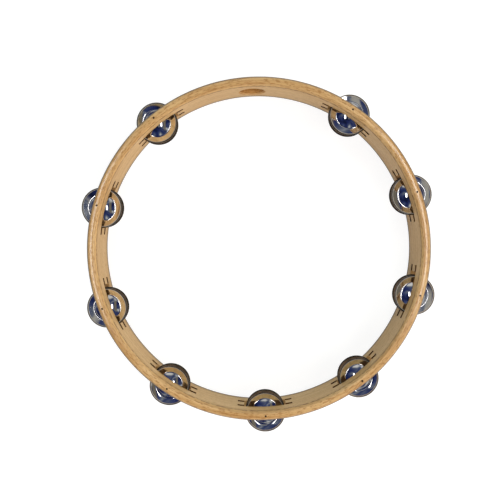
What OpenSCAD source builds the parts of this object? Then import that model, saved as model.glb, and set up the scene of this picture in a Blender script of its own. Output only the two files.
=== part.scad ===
// Headless tambourine: a bent-wood hoop with pairs of sheet-metal jingles that rattle on steel pins.
// The hoop lies on its rear edge, its axis is Z, its front edge faces +Z and its thumb hole faces +Y.
// All sizes are in millimetres.

/* [Hoop] */
// Outer diameter of the hoop
hoop_d = 305; // [254:1:406]
// Thickness of the bent wood
wall = 8.5; // [6.5:0.5:14]
// Depth of the hoop from its rear edge to its front edge
hoop_depth = 44.5; // [38:0.5:70]
// Rounding radius of the hoop's edges
edge_round = 3; // [0.5:0.1:6]
// Least flat width left between two rounded edges
edge_land = 0.5; // [0.2:0.1:3]
// Places around the hoop: the first holds the thumb hole, each other one a pair of jingles
place_count = 10; // [5:1:12]

/* [Thumb hole] */
// Diameter of the thumb hole
thumb_d = 21.5; // [12:0.5:30]
// Width of the bevel around both mouths of the thumb hole
thumb_bevel = 1; // [0.2:0.1:2.5]

/* [Jingles] */
// Diameter of a jingle
jingle_d = 36.5; // [30:0.5:48]
// Thickness of the jingle's sheet metal
sheet = 0.6; // [0.4:0.1:1.2]
// Diameter of the domed cup
cup_d = 23.5; // [16:0.5:28]
// Height of the cup above the trough around it
cup_height = 3.8; // [2:0.1:6]
// Height that the turned-up flange gains from the trough to the rim
flange_rise = 2.6; // [0.2:0.1:4]
// Diameter of the hole in the middle of the cup
jingle_hole_d = 5.4; // [3:0.1:8]

/* [Slots] */
// Room left for the two jingles of a pair to rattle along their pin
pair_play = 7.7; // [2:0.1:12]
// Gap between a jingle and what it comes to rest against
rest_gap = 0.3; // [0.1:0.05:0.4]
// Gap left between the slot's ends and the jingles at their farthest
end_gap = 0.2; // [0.2:0.1:3]
// Width of the two saw cuts along each slot
kerf = 2.8; // [0.8:0.1:4]
// How far the saw cuts run past the slot on the inner wall
kerf_inside = 4; // [3:0.5:9]
// How far the saw cuts run past the slot on the outer wall
kerf_outside = 0.5; // [0.1:0.1:2]

/* [Pins] */
// Diameter of a jingle pin
pin_d = 1.8; // [1.2:0.1:2.8]
// Depth of the pin's end below the front edge
pin_set = 0.5; // [0.2:0.1:2]
// Length of the pin in the wood behind the slot
pin_hold = 8; // [4:0.5:10]
// Width of the bevel at both ends of the pin
pin_bevel = 0.3; // [0.1:0.05:0.5]

/* [Hidden] */
$fn = 96;
// Overshoot of cutting shapes past the wood
cut = 1;

pair_count = place_count - 1;
pairs = [1:pair_count];

// Hoop radii
outer_r = hoop_d / 2;
inner_r = outer_r - wall;
pin_circle_r = outer_r - wall / 2;
edge_r = min(edge_round, (wall - edge_land) / 2);

// A jingle lies on the trough around its cup: trough at 0, cup and turned-up rim above it
jingle_r = jingle_d / 2;
cup_r = cup_d / 2;
jingle_h = sheet + max(cup_height, flange_rise);
cup_sphere_r = (cup_r * cup_r + cup_height * cup_height) / (2 * cup_height);
cup_top = sheet + cup_height;

// Slot: as wide as the two jingles and their play, as long as the loosest jingle
pin_slack = (jingle_hole_d - pin_d) / 2;
slot_width = 2 * jingle_h + pair_play;
slot_length = jingle_d + 2 * (pin_slack + end_gap);
slot_low = (hoop_depth - slot_width) / 2;
slot_high = slot_low + slot_width;

// A pair rests apart, each jingle at its own side of the slot, and slides together to the middle
front_trough_z = slot_high - rest_gap - jingle_h;
rear_trough_z = slot_low + rest_gap;

// With the thumb hole up, a jingle hangs on its pin by the edge of its hole
hang = max(0, pin_slack - rest_gap);

// Saw blade: its circle passes through the ends of the cuts on the inner and the outer wall
kerf_half_inside = slot_length / 2 + kerf_inside;
kerf_half_outside = slot_length / 2 + kerf_outside;
kerf_x_inside = sqrt(inner_r * inner_r - kerf_half_inside * kerf_half_inside);
kerf_x_outside = sqrt(outer_r * outer_r - kerf_half_outside * kerf_half_outside);
saw_x = (outer_r * outer_r - inner_r * inner_r) / (2 * (kerf_x_outside - kerf_x_inside));
saw_r = sqrt(pow(kerf_x_outside - saw_x, 2) + kerf_half_outside * kerf_half_outside);

// Pins
pin_low = slot_low - pin_hold;
pin_high = hoop_depth - pin_set;

// Angle of a place around the hoop, counted from the thumb hole
function place_angle(k) = 90 + k * 360 / place_count;

// Cross-section of the bent strip: a rectangle with four rounded edges
module strip_section() {
    translate([inner_r + edge_r, 0])
        square([wall - 2 * edge_r, hoop_depth]);
    translate([inner_r, edge_r])
        square([wall, hoop_depth - 2 * edge_r]);
    for (r = [inner_r + edge_r, outer_r - edge_r], z = [edge_r, hoop_depth - edge_r])
        translate([r, z])
            circle(edge_r);
}

// Slot for one pair: a square-ended window and the two saw cuts along its long sides
module slot_cut() {
    translate([inner_r - wall, -slot_length / 2, slot_low])
        cube([3 * wall, slot_length, slot_width]);
    for (z = [slot_low, slot_high - kerf])
        translate([saw_x, 0, z])
            cylinder(r = saw_r, h = kerf);
}

// Hole that a pin is driven into from the front edge
module pin_hole() {
    translate([pin_circle_r, 0, pin_low])
        cylinder(d = pin_d, h = hoop_depth - pin_low + cut);
}

// Thumb hole along Y, bevelled at both mouths
module thumb_hole_cut() {
    mouth = thumb_bevel + cut;
    translate([0, 0, hoop_depth / 2])
        rotate([-90, 0, 0]) {
            translate([0, 0, inner_r - wall])
                cylinder(d = thumb_d, h = 3 * wall);
            translate([0, 0, inner_r - cut])
                cylinder(d1 = thumb_d + 2 * mouth, d2 = thumb_d, h = mouth);
            translate([0, 0, outer_r - thumb_bevel])
                cylinder(d1 = thumb_d, d2 = thumb_d + 2 * mouth, h = mouth);
        }
}

// Bent-wood hoop
module hoop_shell() {
    color("burlywood")
        difference() {
            rotate_extrude()
                strip_section();
            for (k = pairs)
                rotate(place_angle(k)) {
                    slot_cut();
                    pin_hole();
                }
            thumb_hole_cut();
        }
}

// Half outline of a pin along its axis, bevelled at both ends
module pin_outline() {
    pin_r = pin_d / 2;
    end_r = pin_r - pin_bevel;
    polygon([
        [0, pin_low],
        [end_r, pin_low],
        [pin_r, pin_low + pin_bevel],
        [pin_r, pin_high - pin_bevel],
        [end_r, pin_high],
        [0, pin_high]
    ]);
}

// Steel pin of one pair, fast in the wood in front of and behind the slot
module jingle_pin(k) {
    color("dimgray")
        rotate(place_angle(k))
            translate([pin_circle_r, 0, 0])
                rotate_extrude()
                    pin_outline();
}

// Outline under the upper face of a jingle: a domed cup and a flange that turns up around it
module jingle_outline() {
    polygon([[0, -sheet], [jingle_r, -sheet], [jingle_r, sheet + flange_rise], [cup_r, sheet], [0, sheet]]);
    intersection() {
        translate([0, cup_top - cup_sphere_r])
            circle(cup_sphere_r);
        square([cup_r, cup_top]);
    }
}

// One stamped jingle, lying on its trough with its cup up
module jingle() {
    rotate_extrude()
        difference() {
            jingle_outline();
            translate([0, -sheet])
                jingle_outline();
            square([jingle_hole_d, 3 * jingle_h], center = true);
        }
}

// Place of a jingle on the pin of pair k, with its trough at height z
module on_pin(k, z) {
    angle = place_angle(k);
    translate([pin_circle_r * cos(angle), pin_circle_r * sin(angle) - hang, z])
        children();
}

// Front jingle of a pair: its cup faces the front
module front_jingle(k) {
    color("silver")
        on_pin(k, front_trough_z)
            jingle();
}

// Rear jingle of a pair: it lies behind the front one, the same way round
module rear_jingle(k) {
    color("silver")
        on_pin(k, rear_trough_z)
            jingle();
}

hoop_shell();
for (k = pairs) {
    jingle_pin(k);
    front_jingle(k);
    rear_jingle(k);
}
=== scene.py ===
# %% [markdown]
# # Headless tambourine
# A bent beech hoop without a skin carries nine pairs of stamped metal jingles on steel pins.
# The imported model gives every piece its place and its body. This lesson dresses that frame: it
# remakes the hoop and the jingles with finer shapes, and gives each piece its real finish.

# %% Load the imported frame
import math

import bmesh
import bpy
from mathutils import Matrix, Vector, noise


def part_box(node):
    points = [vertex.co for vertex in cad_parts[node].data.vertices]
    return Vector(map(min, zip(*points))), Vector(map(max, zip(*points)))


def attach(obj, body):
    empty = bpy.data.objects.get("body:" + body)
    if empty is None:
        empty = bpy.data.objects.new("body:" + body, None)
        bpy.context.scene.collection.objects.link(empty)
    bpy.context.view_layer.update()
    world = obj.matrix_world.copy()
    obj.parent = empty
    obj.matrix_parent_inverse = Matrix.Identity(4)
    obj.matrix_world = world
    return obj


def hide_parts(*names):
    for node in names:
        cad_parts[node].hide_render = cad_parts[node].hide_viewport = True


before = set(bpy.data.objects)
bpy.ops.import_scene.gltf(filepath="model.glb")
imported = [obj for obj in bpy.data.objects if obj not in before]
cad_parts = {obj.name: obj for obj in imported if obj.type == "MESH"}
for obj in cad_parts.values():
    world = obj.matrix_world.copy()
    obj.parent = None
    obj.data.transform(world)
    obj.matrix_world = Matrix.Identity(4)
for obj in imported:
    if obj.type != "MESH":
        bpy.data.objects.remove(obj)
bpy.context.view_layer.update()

# %% [markdown]
# ## Sizes
# The hoop lies on its rear edge at height 0, its axis is Z, and its thumb hole faces +Y. Blender
# works in metres, so the sizes of the real object are written in millimetres times MM.

# %% Sizes of the hoop
MM = 0.001
OUTER_R = 152.5 * MM
INNER_R = 144 * MM
DEPTH = 44.5 * MM
PAIRS = range(1, 10)
print("hoop across:", round(2 * OUTER_R / MM), "mm, pairs of jingles:", len(PAIRS))

# %% [markdown]
# ## Camera
# The photo looks almost straight down the hoop's axis from a little over half a metre. The
# camera's place follows from the picture: the front and rear circles of the hoop don't share one
# centre, so the eye is a little off the axis, and the thumb hole leans to the left, so the
# picture is turned a little. All pixel values are in a picture of 500 by 500.

# %% Camera at the photo's viewing angle
PHOTO_SIDE = 500
FOCAL_PX = 573
EYE_ABOVE_FRONT = 505 * MM
HOOP_CENTRE_PX = (258.9, 250.7)
AXIS_VANISH_PX = (250.6, 225.0)
PICTURE_ROLL = math.radians(2.4)

picture_right = Vector((math.cos(PICTURE_ROLL), -math.sin(PICTURE_ROLL), 0))
picture_up = Vector((math.sin(PICTURE_ROLL), math.cos(PICTURE_ROLL), 0))
per_px = EYE_ABOVE_FRONT / FOCAL_PX
eye = Vector((0, 0, DEPTH + EYE_ABOVE_FRONT))
eye += picture_right * (AXIS_VANISH_PX[0] - HOOP_CENTRE_PX[0]) * per_px
eye += picture_up * (HOOP_CENTRE_PX[1] - AXIS_VANISH_PX[1]) * per_px

half_side = PHOTO_SIDE / 2
back = Vector((0, 0, 1))
back += picture_right * (AXIS_VANISH_PX[0] - half_side) / FOCAL_PX
back += picture_up * (half_side - AXIS_VANISH_PX[1]) / FOCAL_PX
back.normalize()
right = picture_up.cross(back).normalized()
up = back.cross(right)

lens = bpy.data.cameras.new("photo_camera")
lens.sensor_width = 36
lens.lens = lens.sensor_width * FOCAL_PX / PHOTO_SIDE
lens.clip_start = 0.01
camera = bpy.data.objects.new("photo_camera", lens)
camera.matrix_world = Matrix.Translation(eye) @ Matrix((right, up, back)).transposed().to_4x4()
bpy.context.scene.collection.objects.link(camera)
bpy.context.scene.camera = camera
print("camera at", [round(c, 4) for c in eye], "lens", round(lens.lens, 1), "mm")

# %% [markdown]
# ## Helpers for materials
# Colours are written as sRGB hex values, as a paint program shows them, and Blender's shaders
# need them linear, so the first helper turns them. The second one adds any node, sets its
# properties, and fills or links its inputs, so that each material below reads like a list of
# nodes. The third starts a material with no nodes in it.

# %% Colour and node helpers


def srgb(code):
    """Linear colour with alpha from an sRGB hex value."""
    parts = [int(code[i:i + 2], 16) / 255 for i in (1, 3, 5)]
    linear = [p / 12.92 if p <= 0.04045 else ((p + 0.055) / 1.055) ** 2.4 for p in parts]
    return (*linear, 1)


def add(tree, kind, settings=None, inputs=None, stops=None):
    """Add a node. An input is a value or the output socket of another node."""
    made = tree.nodes.new(kind)
    for name, value in (settings or {}).items():
        setattr(made, name, value)
    for name, value in (inputs or {}).items():
        if isinstance(value, bpy.types.NodeSocket):
            tree.links.new(value, made.inputs[name])
        else:
            made.inputs[name].default_value = value
    if stops:
        ramp = made.color_ramp.elements
        while len(ramp) < len(stops):
            ramp.new(1)
        for element, (position, colour) in zip(ramp, stops):
            element.position = position
            element.color = colour
    return made


def new_material(name):
    """Empty node material and its tree."""
    material = bpy.data.materials.new(name)
    material.use_nodes = True
    material.node_tree.nodes.clear()
    return material, material.node_tree


WHITE = (1, 1, 1, 1)
print("mid beech, linear:", [round(c, 3) for c in srgb("#C89E6C")])

# %% [markdown]
# ## Grain that follows the bend
# The grain of a bent strip runs round the ring, so a pattern on plain X, Y and Z would cut across
# it. Here each point is described by its direction from the axis, its height and its distance
# from the axis. The noise is stretched along the direction, so streaks follow the bend and meet
# without a seam. Wear and dirt gather in zones, such as a rounding or an edge, so the last helper
# lays a colour over another one in the zones that heights and distances mark out.

# %% Places, grain and zones
MID_R = (INNER_R + OUTER_R) / 2


def hoop_places(tree):
    """Sockets that describe a point of the hoop: place, direction, height and reach."""
    place = add(tree, "ShaderNodeTexCoord").outputs["Object"]
    level = add(tree, "ShaderNodeVectorMath", {"operation": "MULTIPLY"}, {0: place, 1: (1, 1, 0)})
    direction = add(tree, "ShaderNodeVectorMath", {"operation": "NORMALIZE"}, {0: level.outputs[0]})
    reach = add(tree, "ShaderNodeVectorMath", {"operation": "LENGTH"}, {0: level.outputs[0]})
    height = add(tree, "ShaderNodeSeparateXYZ", None, {0: place}).outputs["Z"]
    return place, direction.outputs[0], height, reach.outputs["Value"]


def grain_noise(tree, places, along, across, detail):
    """Noise stretched along the bend of the hoop. Along and across are feature sizes."""
    place, direction, _, reach = places
    turn = MID_R / along
    around = add(tree, "ShaderNodeVectorMath", {"operation": "MULTIPLY"},
                 {0: direction, 1: (turn, turn, 0)})
    rise = add(tree, "ShaderNodeVectorMath", {"operation": "MULTIPLY"},
               {0: place, 1: (0, 0, 1 / across)})
    both = add(tree, "ShaderNodeVectorMath", {"operation": "ADD"},
               {0: around.outputs[0], 1: rise.outputs[0]})
    depth = add(tree, "ShaderNodeMath", {"operation": "MULTIPLY"}, {0: reach, 1: 1 / across})
    return add(tree, "ShaderNodeTexNoise", {"noise_dimensions": "4D"},
               {"Vector": both.outputs[0], "W": depth.outputs[0], "Scale": 1, "Detail": detail,
                "Roughness": 0.55}).outputs["Fac"]


def distance(tree, value, middle):
    """Distance of a value from a middle."""
    off = add(tree, "ShaderNodeMath", {"operation": "SUBTRACT"}, {0: value, 1: middle}).outputs[0]
    return add(tree, "ShaderNodeMath", {"operation": "ABSOLUTE"}, {0: off}).outputs[0]


def overlaid(tree, base, colour, most, *zones):
    """Base with a colour laid over it. A zone is a value, where it is full and where it ends."""
    share = most
    for value, full, end in zones:
        within = add(tree, "ShaderNodeMapRange", None, {
            "Value": value, "From Min": full, "From Max": end, "To Min": 1, "To Max": 0})
        share = add(tree, "ShaderNodeMath", {"operation": "MULTIPLY"},
                    {0: share, 1: within.outputs[0]}).outputs[0]
    return add(tree, "ShaderNodeMix", {"data_type": "RGBA"},
               {0: share, 6: base, 7: colour}).outputs[2]


print("grain once round the hoop:", round(2 * math.pi * MID_R / MM), "mm")

# %% [markdown]
# ## Varnished beech
# The hoop is a beech strip, steamed, bent and glued to a ring, rounded, sanded and varnished.
# Beech shows soft streaks and many short brown flecks. On the walls the varnish looks thin and
# satin. The crowns of the two edges shine, as varnish does that hands have polished. A thin dark
# line runs where an edge meets the inner wall. Painted shade darkens the outer roundings, and the
# inner wall along the rear edge, where the hoop lies on the floor. One recipe with two sets of
# values makes both finishes.

# %% Varnished beech
# Each pattern has a length along the grain and a width across it
STREAK = (60 * MM, 1.8 * MM)
# Real flecks are finer. These are drawn as coarse as they need to be to show in the picture
FLECK = (3.8 * MM, 0.8 * MM)
CLOUD = (90 * MM, 25 * MM)
# Each zone is where a colour is full and where it ends
FLECK_ZONE = (0.62, 0.50)
INSIDE_ZONE = (INNER_R + 0.5 * MM, INNER_R + 1.2 * MM)
ARRIS_HEIGHT = DEPTH / 2 - 2.9 * MM
ARRIS_ZONE = (0, 1.8 * MM)
ARRIS_BREAKS = (0.58, 0.34)
OUTSIDE_ZONE = (OUTER_R - 0.8 * MM, OUTER_R - 1.7 * MM)
ROUNDING_ZONE = (DEPTH / 2 - 2.4 * MM, DEPTH / 2 - 3.6 * MM)
REAR_SHADE_ZONE = (4 * MM, 7.5 * MM)


def varnished_beech(name, dullest, glossiest, coat):
    """Beech under varnish, with a roughness between two values and a share of clear coat."""
    material, tree = new_material(name)
    places = hoop_places(tree)
    height, reach = places[2:]
    streaks = grain_noise(tree, places, *STREAK, 3)
    flecks = grain_noise(tree, places, *FLECK, 2)
    clouds = grain_noise(tree, places, *CLOUD, 2)

    tone = add(tree, "ShaderNodeValToRGB", None, {0: streaks}, [
        (0.30, srgb("#B88F5B")), (0.48, srgb("#CBA873")),
        (0.62, srgb("#D6B684")), (0.75, srgb("#E1C799"))])
    patch = add(tree, "ShaderNodeValToRGB", None, {0: clouds}, [(0.3, srgb("#E9DCCB")), (0.7, WHITE)])
    wood = add(tree, "ShaderNodeMix", {"data_type": "RGBA", "blend_type": "MULTIPLY"},
               {0: 1, 6: tone.outputs[0], 7: patch.outputs[0]}).outputs[2]
    wood = overlaid(tree, wood, srgb("#946733"), 0.7, (flecks, *FLECK_ZONE))

    # The inner wall is paler than the edges
    inside = (reach, *INSIDE_ZONE)
    wood = overlaid(tree, wood, srgb("#E8C890"), 0.35, inside)

    # A thin dark line between edge and inner wall, broken up by the flecks
    either_side = distance(tree, height, DEPTH / 2)
    arris = (distance(tree, either_side, ARRIS_HEIGHT), *ARRIS_ZONE)
    wood = overlaid(tree, wood, srgb("#70451A"), 1, arris, inside, (flecks, *ARRIS_BREAKS))

    # Painted shade on the outer roundings of both edges, which draws a dark outline round the hoop
    wood = overlaid(tree, wood, srgb("#42341F"), 0.85,
                    (reach, *OUTSIDE_ZONE), (either_side, *ROUNDING_ZONE))
    # Painted shade on the inner wall along the rear edge, where the hoop lies on the floor
    wood = overlaid(tree, wood, srgb("#4A3A22"), 0.8, inside, (height, *REAR_SHADE_ZONE))

    gloss = add(tree, "ShaderNodeMapRange", None, {
        "Value": streaks, "From Min": 0.3, "From Max": 0.7, "To Min": dullest, "To Max": glossiest})
    relief = add(tree, "ShaderNodeBump", None,
                 {"Strength": 0.35, "Distance": 0.06 * MM, "Height": flecks})
    shader = add(tree, "ShaderNodeBsdfPrincipled", None, {
        "Base Color": wood, "Roughness": gloss.outputs[0], "Normal": relief.outputs[0],
        "IOR": 1.5, "Specular IOR Level": 0.4,
        "Coat Weight": coat, "Coat Roughness": 0.1, "Coat IOR": 1.5})
    add(tree, "ShaderNodeOutputMaterial", None, {"Surface": shader.outputs[0]})
    print(name, "nodes:", len(tree.nodes))
    return material


# Thin varnish gives the eye warm wood with a broad, weak shine
beech_wall = varnished_beech("beech_varnished_thin", 0.6, 0.5, 0)
# Polished varnish gives the eye the same wood under narrow white streaks of light
beech_edge = varnished_beech("beech_varnished_handled", 0.4, 0.3, 1)

# %% [markdown]
# ## Bare beech
# Inside the cuts the wood is as the tools left it: no varnish, no gloss, ribbed along the cut. The
# ends of the slots and the bevels of the thumb hole are pale, as a sharp blade leaves them. Where
# the saw runs past a slot, and in the pin holes, the wood is painted dark brown: painted shade for
# these deep, narrow cuts. The drilled wall of the thumb hole, with its open end grain, lies between
# the two. One recipe with three sets of colours makes them.

# %% Chiselled beech, saw cuts in painted shade, and drilled beech
# Tool marks can be finer. These are drawn as coarse as they need to be to show in the picture
SAW_RIB = (20 * MM, 0.7 * MM)


def bare_beech(name, dark, middle, pale):
    """Ribbed wood without varnish, in three tones."""
    material, tree = new_material(name)
    ribs = grain_noise(tree, hoop_places(tree), *SAW_RIB, 2)
    tone = add(tree, "ShaderNodeValToRGB", None, {0: ribs}, [
        (0.30, srgb(dark)), (0.50, srgb(middle)), (0.72, srgb(pale))])
    relief = add(tree, "ShaderNodeBump", None,
                 {"Strength": 0.5, "Distance": 0.1 * MM, "Height": ribs})
    shader = add(tree, "ShaderNodeBsdfPrincipled", None, {
        "Base Color": tone.outputs[0], "Roughness": 0.85, "Normal": relief.outputs[0], "IOR": 1.5})
    add(tree, "ShaderNodeOutputMaterial", None, {"Surface": shader.outputs[0]})
    print(name, "nodes:", len(tree.nodes))
    return material


# A blade gives the eye pale, matt wood
chiselled_beech = bare_beech("beech_chiselled_bare", "#A87C4A", "#C09561", "#D4AE7A")
# Painted shade: a dark brown stands in for the shade deep in the narrow saw cuts and pin holes
cut_shade_beech = bare_beech("beech_cut_painted_shade", "#402A14", "#5C3E22", "#7C5530")
# A drill gives the eye a matt, warm mid brown
drilled_beech = bare_beech("beech_drilled_end_grain", "#7A5226", "#A2713C", "#C4955C")

# %% [markdown]
# ## Hoop shell
# A joiner would bend a strip and then saw the slots. The mesh goes the same way: one rectangle
# with rounded corners is the strip's section, a full spin bends it to a ring, and cutting bodies
# with a Boolean modifier saw the slots, run the saw past their ends, and drill the holes. The ends
# of the slots point to the hoop's axis, as a chisel held square to the wall leaves them. Each
# cutter's faces carry a finish, and the cut faces take it over.

# %% Ring from a spun section
VARNISHED, CHISELLED, CUT_SHADE, HANDLED, DRILLED = range(5)
HOOP_FINISHES = (beech_wall, chiselled_beech, cut_shade_beech, beech_edge, drilled_beech)
EDGE_R = 3 * MM
CROWN = 0.9 * MM
RING_STEPS = 240
CORNER_STEPS = 8
WALL_ROWS = 7
WELD = 0.001 * MM


def object_from(bm, name, *materials):
    """Object at the origin from a bmesh, which is freed."""
    mesh = bpy.data.meshes.new(name)
    bm.to_mesh(mesh)
    bm.free()
    for material in materials:
        mesh.materials.append(material)
    made = bpy.data.objects.new(name, mesh)
    bpy.context.scene.collection.objects.link(made)
    return made


bm = bmesh.new()
corners = [bm.verts.new((r, 0, z)) for r, z in
           ((INNER_R, 0), (OUTER_R, 0), (OUTER_R, DEPTH), (INNER_R, DEPTH))]
bm.faces.new(corners)
bmesh.ops.bevel(bm, geom=corners, offset=EDGE_R, offset_type="OFFSET", segments=CORNER_STEPS,
                profile=0.5, affect="VERTICES", material=-1)
bmesh.ops.delete(bm, geom=bm.faces[:], context="FACES_ONLY")
long_edges = [e for e in bm.edges if e.calc_length() > DEPTH / 2]
bmesh.ops.subdivide_edges(bm, edges=long_edges, cuts=WALL_ROWS)
bmesh.ops.spin(bm, geom=bm.verts[:] + bm.edges[:], cent=(0, 0, 0), axis=(0, 0, 1),
               angle=2 * math.pi, steps=RING_STEPS, use_merge=True)
bmesh.ops.remove_doubles(bm, verts=bm.verts[:], dist=WELD)
bmesh.ops.recalc_face_normals(bm, faces=bm.faces[:])
for face in bm.faces:
    middle = face.calc_center_median().z
    face.material_index = HANDLED if min(middle, DEPTH - middle) < CROWN else VARNISHED
hoop = object_from(bm, "hoop_of_bent_beech", *HOOP_FINISHES)
print("ring faces:", len(hoop.data.polygons))

# %% Cutters for the slots and the saw's run-out
SLOT_LOW = 14 * MM
SLOT_HIGH = 30.5 * MM
SLOT_LENGTH = 40.5 * MM
SLOT_TAPER = 0.14
TAPER_FROM = 2 * MM
WINDOW_DEPTH = 30 * MM
KERF = 4 * MM
KERF_INSET = 0.1 * MM
KERF_INSIDE = 5 * MM
KERF_OUTSIDE = 0.5 * MM
SAW_STEPS = 180
# Degrees around the hoop
THUMB_PLACE = 90
PLACE_STEP = 36


def place_angle(pair):
    """Angle of a pair of jingles around the hoop. Pair 1 stands next to the thumb hole."""
    return math.radians(THUMB_PLACE + PLACE_STEP * pair)


# The saw's circle passes through the ends of its marks on the inner and the outer wall
half_inside = SLOT_LENGTH / 2 + KERF_INSIDE
half_outside = SLOT_LENGTH / 2 + KERF_OUTSIDE
x_inside = math.sqrt(INNER_R ** 2 - half_inside ** 2)
x_outside = math.sqrt(OUTER_R ** 2 - half_outside ** 2)
saw_x = (OUTER_R ** 2 - INNER_R ** 2) / (2 * (x_outside - x_inside))
saw_r = math.hypot(x_outside - saw_x, half_outside)

windows = bmesh.new()
saws = bmesh.new()
at_slot = Matrix.Translation((MID_R, 0, (SLOT_LOW + SLOT_HIGH) / 2))
slot_size = Matrix.Diagonal((WINDOW_DEPTH, SLOT_LENGTH, SLOT_HIGH - SLOT_LOW, 1))
saw_reach = KERF / 2 + KERF_INSET
for pair in PAIRS:
    turn = Matrix.Rotation(place_angle(pair), 4, "Z")
    block = bmesh.ops.create_cube(windows, size=1, matrix=slot_size)["verts"]
    for vert in block:
        vert.co.y *= 1 + SLOT_TAPER * (vert.co.x - TAPER_FROM) / (SLOT_LENGTH / 2)
    bmesh.ops.transform(windows, matrix=turn @ at_slot, verts=block)
    for z in (SLOT_LOW + saw_reach, SLOT_HIGH - saw_reach):
        bmesh.ops.create_cone(saws, cap_ends=True, segments=SAW_STEPS, radius1=saw_r, radius2=saw_r,
                              depth=KERF, matrix=turn @ Matrix.Translation((saw_x, 0, z)))
print("saw radius:", round(saw_r / MM, 1), "mm")

# %% Cutters for the pin holes and the thumb hole
PIN_R = 0.9 * MM
PIN_LOW = 6 * MM
PIN_STEPS = 24
THUMB_R = 10.75 * MM
THUMB_BEVEL = 1 * MM
THUMB_STEPS = 96
OVERSHOOT = 1 * MM

pin_holes = bmesh.new()
drill_top = DEPTH + OVERSHOOT
at_pin = Matrix.Translation((MID_R, 0, (PIN_LOW + drill_top) / 2))
for pair in PAIRS:
    turn = Matrix.Rotation(place_angle(pair), 4, "Z")
    bmesh.ops.create_cone(pin_holes, cap_ends=True, segments=PIN_STEPS, radius1=PIN_R, radius2=PIN_R,
                          depth=drill_top - PIN_LOW, matrix=turn @ at_pin)

thumb = bmesh.new()
mouth = THUMB_BEVEL + OVERSHOOT
outline = [(0, INNER_R - OVERSHOOT), (THUMB_R + mouth, INNER_R - OVERSHOOT),
           (THUMB_R, INNER_R + THUMB_BEVEL), (THUMB_R, OUTER_R - THUMB_BEVEL),
           (THUMB_R + mouth, OUTER_R + OVERSHOOT), (0, OUTER_R + OVERSHOOT)]
points = [thumb.verts.new((r, y, DEPTH / 2)) for r, y in outline]
for first, second in zip(points, points[1:]):
    thumb.edges.new((first, second))
bmesh.ops.spin(thumb, geom=thumb.verts[:] + thumb.edges[:], cent=(0, 0, DEPTH / 2), axis=(0, 1, 0),
               angle=2 * math.pi, steps=THUMB_STEPS, use_merge=True)
bmesh.ops.remove_doubles(thumb, verts=thumb.verts[:], dist=WELD)
bmesh.ops.recalc_face_normals(thumb, faces=thumb.faces[:])
print("thumb hole across:", 2 * THUMB_R / MM, "mm")

# %% Saw and drill the ring
HOOP_SHARP = math.radians(35)
# The bevels of the thumb hole face partly along its axis, more than its wall and less than its ends
LEAST_BEVEL, MOST_BEVEL = 0.5, 0.9

for cutter, finish in ((windows, CHISELLED), (saws, CUT_SHADE), (pin_holes, CUT_SHADE), (thumb, DRILLED)):
    for face in cutter.faces:
        face.material_index = finish
for face in thumb.faces:
    if LEAST_BEVEL < abs(face.normal.y) < MOST_BEVEL:
        face.material_index = CHISELLED


def carve(piece, cutter_bm, name):
    """Cut a cutter's shape out of a piece. The cut faces take the finish of the cutter's faces."""
    cutter = object_from(cutter_bm, name, *HOOP_FINISHES)
    cut = piece.modifiers.new(name, "BOOLEAN")
    cut.operation = "DIFFERENCE"
    cut.solver = "EXACT"
    cut.material_mode = "INDEX"
    cut.object = cutter
    depsgraph = bpy.context.evaluated_depsgraph_get()
    carved = bpy.data.meshes.new_from_object(piece.evaluated_get(depsgraph))
    piece.modifiers.clear()
    piece.data = carved
    bpy.data.objects.remove(cutter)


carve(hoop, windows, "slot_windows")
carve(hoop, saws, "saw_blades")
carve(hoop, pin_holes, "pin_drill")
carve(hoop, thumb, "thumb_drill")
hoop.data.polygons.foreach_set("use_smooth", [True] * len(hoop.data.polygons))
hoop.data.set_sharp_from_angle(angle=HOOP_SHARP)
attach(hoop, "hoop")
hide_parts("hoop_shell")
print("sawn hoop faces:", len(hoop.data.polygons))

# %% [markdown]
# ## Nickel plate
# The jingles are stamped from sheet steel, plated with nickel and polished: a bright mirror with
# a faint warm tint. Tumbling and playing leave fine marks, so the gloss changes a little from
# place to place. The rim shows a dull worn lip and a dark cut edge, and the hole has a dark ring
# of dirt. On the front plates the lip is a pale matt grey, partly wear and partly a painted
# highlight along the rim. The rear plates get a darker, browner plating and a weaker mirror. Each
# plate carries an attribute with its own flat coordinates, so that one material serves all the
# plates of a rank.

# %% Polished and tarnished nickel plate
PLATE_R = 18.25 * MM
PLATE_HOLE_R = 2.7 * MM
RIM_WEAR = 1.1 * MM
LIP_ZONE = (PLATE_R - RIM_WEAR, PLATE_R - 1.5 * RIM_WEAR)
CUT_EDGE_ZONE = (PLATE_R - 0.7 * RIM_WEAR, PLATE_R - 0.85 * RIM_WEAR)
EYELET_ZONE = (PLATE_HOLE_R, PLATE_HOLE_R + 1.5 * RIM_WEAR)
SMUDGE = 6 * MM


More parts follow.
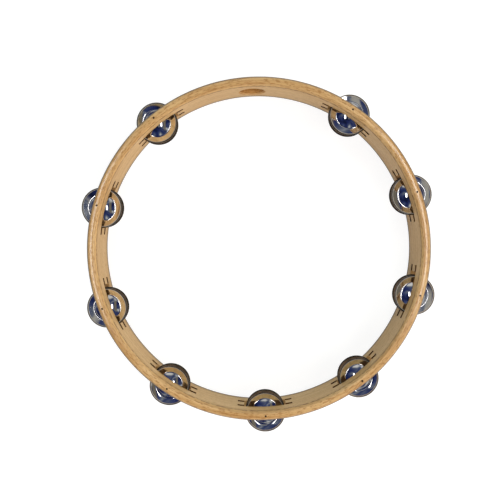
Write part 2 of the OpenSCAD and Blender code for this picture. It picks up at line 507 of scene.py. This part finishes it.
def nickel_plate(name, dull, bright, lip_tone, mirror_share):
    """Mirror metal between two tones, worn at the rim and dark round the hole."""
    material, tree = new_material(name)
    on_plate = add(tree, "ShaderNodeAttribute", {"attribute_name": "plate_place"}).outputs["Vector"]
    level = add(tree, "ShaderNodeVectorMath", {"operation": "MULTIPLY"}, {0: on_plate, 1: (1, 1, 0)})
    reach = add(tree, "ShaderNodeVectorMath", {"operation": "LENGTH"},
                {0: level.outputs[0]}).outputs["Value"]
    smudge = add(tree, "ShaderNodeTexNoise", None, {
        "Vector": on_plate, "Scale": 1 / SMUDGE, "Detail": 4, "Roughness": 0.6}).outputs["Fac"]
    tone = add(tree, "ShaderNodeValToRGB", None, {0: smudge},
               [(0.35, srgb(dull)), (0.65, srgb(bright))])
    plated = overlaid(tree, tone.outputs[0], srgb("#1F1B17"), 0.7, (reach, *EYELET_ZONE))
    # The lip is matt. On the front plates its pale grey is partly wear and partly a painted highlight
    # along the rim
    plated = overlaid(tree, plated, srgb(lip_tone), 1, (reach, *LIP_ZONE))
    plated = overlaid(tree, plated, srgb("#2A2622"), 1, (reach, *CUT_EDGE_ZONE))
    worn, polished = LIP_ZONE
    mirror = add(tree, "ShaderNodeMapRange", None, {
        "Value": reach, "From Min": polished, "From Max": worn, "To Min": mirror_share, "To Max": 0})
    gloss = add(tree, "ShaderNodeMapRange", None, {
        "Value": smudge, "From Min": 0.3, "From Max": 0.7, "To Min": 0.03, "To Max": 0.07})
    shader = add(tree, "ShaderNodeBsdfPrincipled", None, {
        "Base Color": plated, "Metallic": mirror.outputs[0], "Roughness": gloss.outputs[0]})
    add(tree, "ShaderNodeOutputMaterial", None, {"Surface": shader.outputs[0]})
    print(name, "nodes:", len(tree.nodes))
    return material


# Polished plate gives the eye a sharp mirror of the room, and the darker rear plating a dim, brownish
# one
NICKEL = {
    "front": nickel_plate("nickel_plate_polished", "#E4E1DB", "#F2F0EC", "#A8A196", 1),
    "rear": nickel_plate("nickel_plate_dark_brownish", "#94826F", "#B4A28E", "#2A2622", 0.7)}

# %% [markdown]
# ## Jingles
# A press draws each plate from a disc of sheet: a domed cup with a hole, a trough around it, and a
# flange that turns up to the rim. One half outline and a full spin make that form in one go, with
# a small radius where the press bends the sheet, and the sheet then gets its thickness. A slow
# noise of a few hundredths of a millimetre bends the mirror as in a real stamped plate, so no two
# plates show the same picture. Five front plates get a flatter flange than the others, because
# what they mirror asks for it: a slope decides which part of the room a mirror shows.

# %% Plate lying on its trough
SHEET = 0.5 * MM
CUP_TOP = 4.4 * MM
CUP_SPHERE_R = 20.1 * MM
CUP_SLOPE = math.radians(34.2)
CUP_STEPS = 14
TROUGH_R = 2 * MM
TROUGH_STEPS = 8
# Degrees at the trough and at the rim
FLANGE_SLOPES = (18, 30)
FLANGE_STEPS = 7
PLATE_STEPS = 144
PLATE_SHARP = math.radians(50)
RIM_BEVEL = 0.12 * MM
WAVE = 0.05 * MM
WAVE_SIZE = 14 * MM
WAVE_SHIFT = 7.3
WAVE_SINK = 0.5


def turn_on(bm, vert, centre, angle, steps):
    """Go on from a vertex along an arc in the XZ plane. Returns the arc's last vertex."""
    arc = bmesh.ops.spin(bm, geom=[vert], cent=centre, axis=(0, 1, 0), angle=angle, steps=steps)
    return [v for v in arc["geom_last"] if isinstance(v, bmesh.types.BMVert)][0]


def half_outline(bm, flange_slopes):
    """Edges from the hole over the cup and through the trough to the rim, in the XZ plane."""
    first, last = (math.radians(slope) for slope in flange_slopes)
    hole_slope = math.asin(PLATE_HOLE_R / CUP_SPHERE_R)
    sphere_z = CUP_TOP - CUP_SPHERE_R
    edge = bm.verts.new((PLATE_HOLE_R, 0, sphere_z + CUP_SPHERE_R * math.cos(hole_slope)))
    foot = turn_on(bm, edge, (0, 0, sphere_z), CUP_SLOPE - hole_slope, CUP_STEPS)
    above = Vector((math.sin(CUP_SLOPE), 0, math.cos(CUP_SLOPE))) * TROUGH_R
    trough = turn_on(bm, foot, foot.co + above, -(CUP_SLOPE + first), TROUGH_STEPS)
    rim_r = PLATE_R - SHEET * math.sin(last)
    flange_r = (rim_r - trough.co.x) / (math.sin(last) - math.sin(first))
    above = Vector((-math.sin(first), 0, math.cos(first))) * flange_r
    turn_on(bm, trough, trough.co + above, first - last, FLANGE_STEPS)


def pressed_plate(seed, flange_slopes):
    """Bmesh of one plate that lies on its trough with its cup up, centred on the Z axis."""
    bm = bmesh.new()
    half_outline(bm, flange_slopes)
    bmesh.ops.spin(bm, geom=bm.verts[:] + bm.edges[:], cent=(0, 0, 0), axis=(0, 0, 1),
                   angle=2 * math.pi, steps=PLATE_STEPS, use_merge=True)
    bmesh.ops.remove_doubles(bm, verts=bm.verts[:], dist=WELD)
    bmesh.ops.recalc_face_normals(bm, faces=bm.faces[:])
    if sum(f.normal.z for f in bm.faces) < 0:
        bmesh.ops.reverse_faces(bm, faces=bm.faces[:])
    for vert in bm.verts:
        spot = Vector((vert.co.x, vert.co.y, seed * WAVE_SHIFT * WAVE_SIZE)) / WAVE_SIZE
        vert.co.z += WAVE * (noise.noise(spot) - WAVE_SINK)
    bmesh.ops.solidify(bm, geom=bm.faces[:], thickness=SHEET)
    sharp = [e for e in bm.edges if e.is_manifold and e.calc_face_angle() > PLATE_SHARP]
    bmesh.ops.bevel(bm, geom=sharp, offset=RIM_BEVEL, offset_type="OFFSET", segments=2,
                    profile=0.5, affect="EDGES", material=-1)
    return bm


test = pressed_plate(0, FLANGE_SLOPES)
print("plate faces:", len(test.faces), "z from", round(min(v.co.z for v in test.verts) / MM, 2),
      "to", round(max(v.co.z for v in test.verts) / MM, 2), "mm")
test.free()

# %% Place the plates on their pins
FLATTER_SLOPES = {2: (12.8, 14), 3: (12.8, 14), 7: (5.5, 12), 8: (5.5, 12), 9: (7.5, 12)}
FIRST_SEED = {"front": 0, "rear": 20}
# Radians from one plate to the next
PLATE_TURN = 2.4

for rank, first_seed in FIRST_SEED.items():
    for pair in PAIRS:
        node = f"{rank}_jingle_{pair}"
        low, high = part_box(node)
        seed = first_seed + pair
        flatter = rank == "front" and pair in FLATTER_SLOPES
        bm = pressed_plate(seed, FLATTER_SLOPES[pair] if flatter else FLANGE_SLOPES)
        own = bm.verts.layers.float_vector.new("plate_place")
        for vert in bm.verts:
            vert[own] = vert.co + Vector((0, 0, seed * PLATE_R))
        on_pin = Matrix.Translation(((low.x + high.x) / 2, (low.y + high.y) / 2, low.z))
        spun = Matrix.Rotation(PLATE_TURN * seed, 4, "Z")
        bmesh.ops.transform(bm, matrix=on_pin @ spun, verts=bm.verts[:])
        plate = object_from(bm, f"{rank}_plate_{pair}", NICKEL[rank])
        plate.data.polygons.foreach_set("use_smooth", [True] * len(plate.data.polygons))
        plate.data.set_sharp_from_angle(angle=PLATE_SHARP)
        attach(plate, node)
        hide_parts(node)
print("plates:", len(FIRST_SEED) * len(PAIRS))

# %% [markdown]
# ## Steel pins
# The pins are cut from drawn steel wire and driven in from the front edge. They stay as the packed
# model has them, because a plain pin is the right shape. Their wire is grey and dull, with fine
# marks along its length. The end that shows in the front edge is painted dark, as painted shade of
# its sunk hole.

# %% Dull steel wire
PIN_TOP = 44 * MM
PIN_HEAD_SHADE_ZONE = (PIN_TOP - 0.5 * MM, PIN_TOP - 3 * MM)
# Real drawing marks are far finer. These are drawn as coarse as they need to be to show
MARK_WIDTH = 0.3 * MM
MARK_LENGTH = 6 * MM

# Drawn wire gives the eye grey metal with a soft shine, streaked along its length
steel, tree = new_material("steel_wire_drawn_dull")
place = add(tree, "ShaderNodeTexCoord").outputs["Object"]
drawn = add(tree, "ShaderNodeVectorMath", {"operation": "MULTIPLY"},
            {0: place, 1: (1 / MARK_WIDTH, 1 / MARK_WIDTH, 1 / MARK_LENGTH)})
marks = add(tree, "ShaderNodeTexNoise", None,
            {"Vector": drawn.outputs[0], "Scale": 1, "Detail": 3}).outputs["Fac"]
height = add(tree, "ShaderNodeSeparateXYZ", None, {0: place}).outputs["Z"]
wire = add(tree, "ShaderNodeValToRGB", None, {0: marks},
           [(0.35, srgb("#6A655E")), (0.65, srgb("#9A958C"))])
# Painted shade: the top of the pin, sunk in its hole in the front edge, is painted dark
pin_top_shade = overlaid(tree, wire.outputs[0], srgb("#2A1E15"), 0.9, (height, *PIN_HEAD_SHADE_ZONE))
gloss = add(tree, "ShaderNodeMapRange", None, {
    "Value": marks, "From Min": 0.3, "From Max": 0.7, "To Min": 0.32, "To Max": 0.5})
shader = add(tree, "ShaderNodeBsdfPrincipled", None, {
    "Base Color": pin_top_shade, "Metallic": 1, "Roughness": gloss.outputs[0]})
add(tree, "ShaderNodeOutputMaterial", None, {"Surface": shader.outputs[0]})
for pair in PAIRS:
    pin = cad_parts[f"jingle_pin_{pair}"]
    pin.data.materials.clear()
    pin.data.materials.append(steel)
print(steel.name, "on", len(PAIRS), "pins")

# %% [markdown]
# ## Floor
# The hoop lies on a plain white floor. The floor is a matt grey paper that takes the shadow, and a
# little light of its own, for the camera and for mirrors only, makes it read as white.

# %% Floor
FLOOR_SIDE = 6
FLOOR_DROP = 0.05 * MM
FLOOR_GLOW = 0.85


def seen_directly(tree):
    """Socket that is 1 for what the camera, a mirror or a glass shows, and 0 for other light."""
    rays = add(tree, "ShaderNodeLightPath")
    seen = add(tree, "ShaderNodeMath", {"operation": "ADD"},
               {0: rays.outputs["Is Camera Ray"], 1: rays.outputs["Is Glossy Ray"]})
    return add(tree, "ShaderNodeMath", {"operation": "ADD", "use_clamp": True},
               {0: seen.outputs[0], 1: rays.outputs["Is Transmission Ray"]}).outputs[0]


bm = bmesh.new()
bmesh.ops.create_grid(bm, x_segments=1, y_segments=1, size=FLOOR_SIDE / 2,
                      matrix=Matrix.Translation((0, 0, -FLOOR_DROP)))
paper, tree = new_material("paper_white_matt")
glow = add(tree, "ShaderNodeMath", {"operation": "MULTIPLY"}, {0: seen_directly(tree), 1: FLOOR_GLOW})
matt = add(tree, "ShaderNodeBsdfDiffuse", None, {"Color": srgb("#929292")})
shine = add(tree, "ShaderNodeEmission", None, {"Color": WHITE, "Strength": glow.outputs[0]})
both = add(tree, "ShaderNodeAddShader", None, {0: matt.outputs[0], 1: shine.outputs[0]})
add(tree, "ShaderNodeOutputMaterial", None, {"Surface": both.outputs[0]})
floor = object_from(bm, "floor", paper)
print("floor side:", FLOOR_SIDE, "m")

# %% [markdown]
# ## Light
# One large soft light stands on the right, as a window would, and shines on the left inner wall.
# Two weaker panels, on the thumb hole's side and across from it, fill the shadows. Gloss and
# polished metal don't show these lights: what they mirror is the room, in the next step.

# %% Soft lights


def soft_light(name, place, wide, high, power, colour):
    """Area light that faces the hoop. Its place and sides are in metres, its power in watts."""
    lamp = bpy.data.lights.new(name, "AREA")
    lamp.energy = power
    lamp.shape = "RECTANGLE"
    lamp.size = wide
    lamp.size_y = high
    lamp.color = srgb(colour)[:3]
    made = bpy.data.objects.new(name, lamp)
    aim = Vector(place).to_track_quat("Z", "Y").to_matrix().to_4x4()
    made.matrix_world = Matrix.Translation(place) @ aim
    made.visible_glossy = False
    bpy.context.scene.collection.objects.link(made)
    print(name, "at", place, "power", power)


soft_light("window_right", (1.0, -0.3, 0.8), 2.2, 1.1, 21, "#FFF2E2")
soft_light("panel_front", (-0.35, -0.9, 0.7), 0.8, 0.6, 7.5, "#FFF8F0")
soft_light("panel_back", (-0.2, 0.9, 0.8), 0.8, 0.6, 6.2, "#F6FFF0")

# %% [markdown]
# ## Room
# A polished plate looks like what it mirrors, so the room around the hoop needs things to show.
# Large shapes from dark blue to white fill it, and it is pale toward the floor. Two narrow bright
# strips stand on the left and on the right, where level metal and the gloss of the edges mirror
# them. A grey pane farther to the right and a pale spot overhead are what the flatter flanges of
# the plates on the right mirror.

# %% Walls of the room
NEAR_FLOOR = (0.05, 0.25)

room = bpy.data.worlds.new("room")
bpy.context.scene.world = room
room.use_nodes = True
tree = room.node_tree
tree.nodes.clear()
look = add(tree, "ShaderNodeTexCoord").outputs["Generated"]
way = add(tree, "ShaderNodeSeparateXYZ", None, {0: look}).outputs
things = add(tree, "ShaderNodeTexNoise", None,
             {"Vector": look, "Scale": 1.1, "Detail": 2, "Distortion": 0.6}).outputs["Fac"]
walls = add(tree, "ShaderNodeValToRGB", None, {0: things}, [
    (0.34, srgb("#1C2444")), (0.43, srgb("#2A366E")), (0.50, srgb("#445080")),
    (0.56, srgb("#727C94")), (0.62, srgb("#D4D8DE")), (0.68, WHITE)])
colour = overlaid(tree, walls.outputs[0], srgb("#D8D6D2"), 0.8, (way["Z"], *NEAR_FLOOR))
print(room.name, "wall nodes:", len(tree.nodes))

# %% Pane, spot and strips of the room
ROOM_LIGHT = 0.6
STRIP_LIGHT = 7
# Each patch has two sides, along X and along Y of the direction that a mirror looks in: its middle,
# and how far from there it is full and ends
PANE = (0.54, 0.06, 0.12), (0, 0.3, 0.6)
OVERHEAD = (0.05, 0.05, 0.09), (0, 0.12, 0.3)
STRIP = (0.28, 0.03, 0.08), (0, 0.1, 0.26)


def soft_patch(tree, across, along, sides):
    """Share of a patch of the room: 1 in its middle, fading out over its two sides."""
    share = 1
    for value, (middle, full, end) in zip((across, along), sides):
        side = add(tree, "ShaderNodeMapRange", {"interpolation_type": "SMOOTHSTEP"}, {
            "Value": distance(tree, value, middle), "From Min": full, "From Max": end,
            "To Min": 1, "To Max": 0})
        share = add(tree, "ShaderNodeMath", {"operation": "MULTIPLY"},
                    {0: share, 1: side.outputs[0]}).outputs[0]
    return share


for sides, tint in ((PANE, "#8A8478"), (OVERHEAD, "#C4C2BC")):
    share = soft_patch(tree, way["X"], way["Y"], sides)
    colour = add(tree, "ShaderNodeMix", {"data_type": "RGBA"},
                 {0: share, 6: colour, 7: srgb(tint)}).outputs[2]

either_way = add(tree, "ShaderNodeMath", {"operation": "ABSOLUTE"}, {0: way["X"]}).outputs[0]
strips = soft_patch(tree, either_way, way["Y"], STRIP)
above = add(tree, "ShaderNodeMath", {"operation": "GREATER_THAN"}, {0: way["Z"], 1: 0}).outputs[0]
for limit in (above, seen_directly(tree)):
    strips = add(tree, "ShaderNodeMath", {"operation": "MULTIPLY"}, {0: strips, 1: limit}).outputs[0]
lit = add(tree, "ShaderNodeMix", {"data_type": "RGBA"}, {0: strips, 6: colour, 7: WHITE})
strength = add(tree, "ShaderNodeMapRange", None, {
    "Value": strips, "From Min": 0, "From Max": 1, "To Min": ROOM_LIGHT, "To Max": STRIP_LIGHT})
air = add(tree, "ShaderNodeBackground", None,
          {"Color": lit.outputs[2], "Strength": strength.outputs[0]})
add(tree, "ShaderNodeOutputWorld", None, {"Surface": air.outputs[0]})
print("room light:", ROOM_LIGHT, "strip light:", STRIP_LIGHT)

# %% [markdown]
# ## Last steps
# The standard view shows colours as written. The dressed model has to stay inside the
# imported one.

# %% View
bpy.context.scene.view_settings.view_transform = "Standard"
